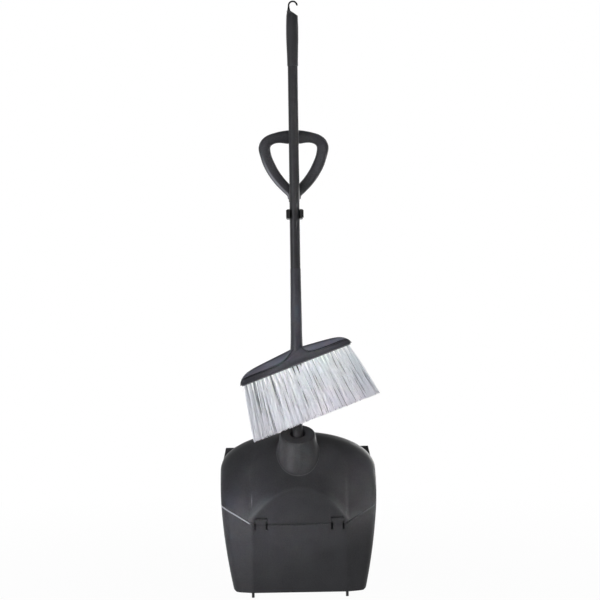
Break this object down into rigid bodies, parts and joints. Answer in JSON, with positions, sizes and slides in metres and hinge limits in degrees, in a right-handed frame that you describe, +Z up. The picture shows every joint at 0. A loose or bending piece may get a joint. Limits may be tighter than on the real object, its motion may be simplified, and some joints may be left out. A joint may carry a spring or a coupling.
{
  "type": "lobby dustpan",
  "caption": "Hooded lobby dustpan on a tube handle with a hand loop, a self-opening front lid, and an angled broom clipped to the handle.",
  "frame": {"origin": "on the underside of the pan's floor, straight below the handle tube's axis", "axes": "+Z up along the handle; the mouth and the lid face -Y; +X is the right of the mouth seen from the front"},
  "size_m": [0.3181, 0.1926, 1.179],
  "materials": {
    "pan_plastic": "satin",
    "dark_plastic": "satin",
    "steel": "satin",
    "tube_coat": "satin",
    "bristle": "satin"
  },
  "bodies": {
    "pan": {"pan_tray": "pan_plastic", "hood": "pan_plastic", "hinge_pin_left": "steel", "hinge_pin_right": "steel", "hood_screws": "steel", "neck_bush": "dark_plastic", "tube_plug": "dark_plastic", "handle_tube": "tube_coat", "handle_screw": "steel", "grip_loop": "pan_plastic", "grip_pin": "steel", "broom_clip": "dark_plastic", "clip_screw": "steel"},
    "lid": {"lid": "pan_plastic"},
    "lifter_left": {"lifter_rod_left": "steel"},
    "lifter_right": {"lifter_rod_right": "steel"},
    "broom": {"broom_tube": "tube_coat", "broom_grip": "dark_plastic", "hanger_cap": "dark_plastic", "broom_tip": "dark_plastic", "broom_head": "dark_plastic", "bristles_front": "bristle", "bristles_middle": "bristle", "bristles_back": "bristle"}
  },
  "joints": [
    {"name": "lid_hinge", "type": "hinge", "parent": "pan", "child": "lid", "pos_m": [0, -0.0665, 0.14045], "axis": [-1, 0, 0], "range_deg": [0, 55]},
    {"name": "lifter_left_slide", "type": "slide", "parent": "pan", "child": "lifter_left", "axis": [0, 0, 1], "range_m": [0, 0.0115]},
    {"name": "lifter_right_slide", "type": "slide", "parent": "pan", "child": "lifter_right", "axis": [0, 0, 1], "range_m": [0, 0.0115]},
    {"name": "broom_unclip", "type": "slide", "parent": "pan", "child": "broom", "axis": [0, -1, 0], "range_m": [0, 0.12]}
  ],
  "couplings": [
    {"joint": "lifter_left_slide", "follows": "lid_hinge", "m_per_rad": 0.01198},
    {"joint": "lifter_right_slide", "follows": "lid_hinge", "m_per_rad": 0.01198}
  ]
}
